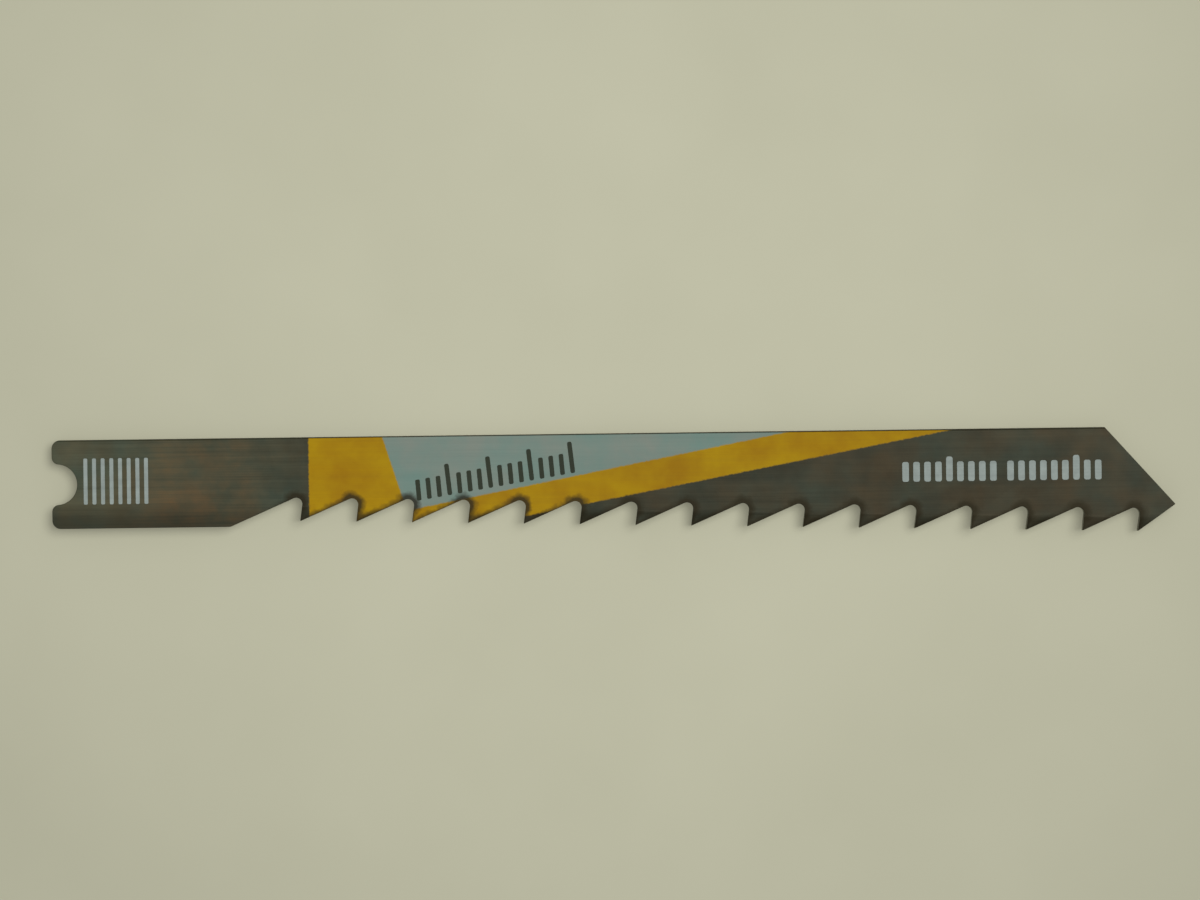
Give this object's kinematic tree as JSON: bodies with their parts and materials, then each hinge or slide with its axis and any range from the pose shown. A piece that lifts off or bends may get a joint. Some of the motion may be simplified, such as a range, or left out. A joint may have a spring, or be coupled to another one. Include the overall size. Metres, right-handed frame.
{
  "type": "jigsaw blade",
  "caption": "Coarse wood-cutting jigsaw blade with a notched flat shank, milled and alternately set teeth, and a pointed nose.",
  "frame": {"origin": "centre of the notch in the end of the shank, halfway through the strip's thickness", "axes": "+X along the back edge towards the nose; +Y from the teeth to the back edge; +Z out of the printed face"},
  "size_m": [0.0804, 0.0075, 0.002],
  "materials": {
    "blade": "satin"
  },
  "bodies": {
    "root": {"blade": "blade"}
  },
  "joints": []
}
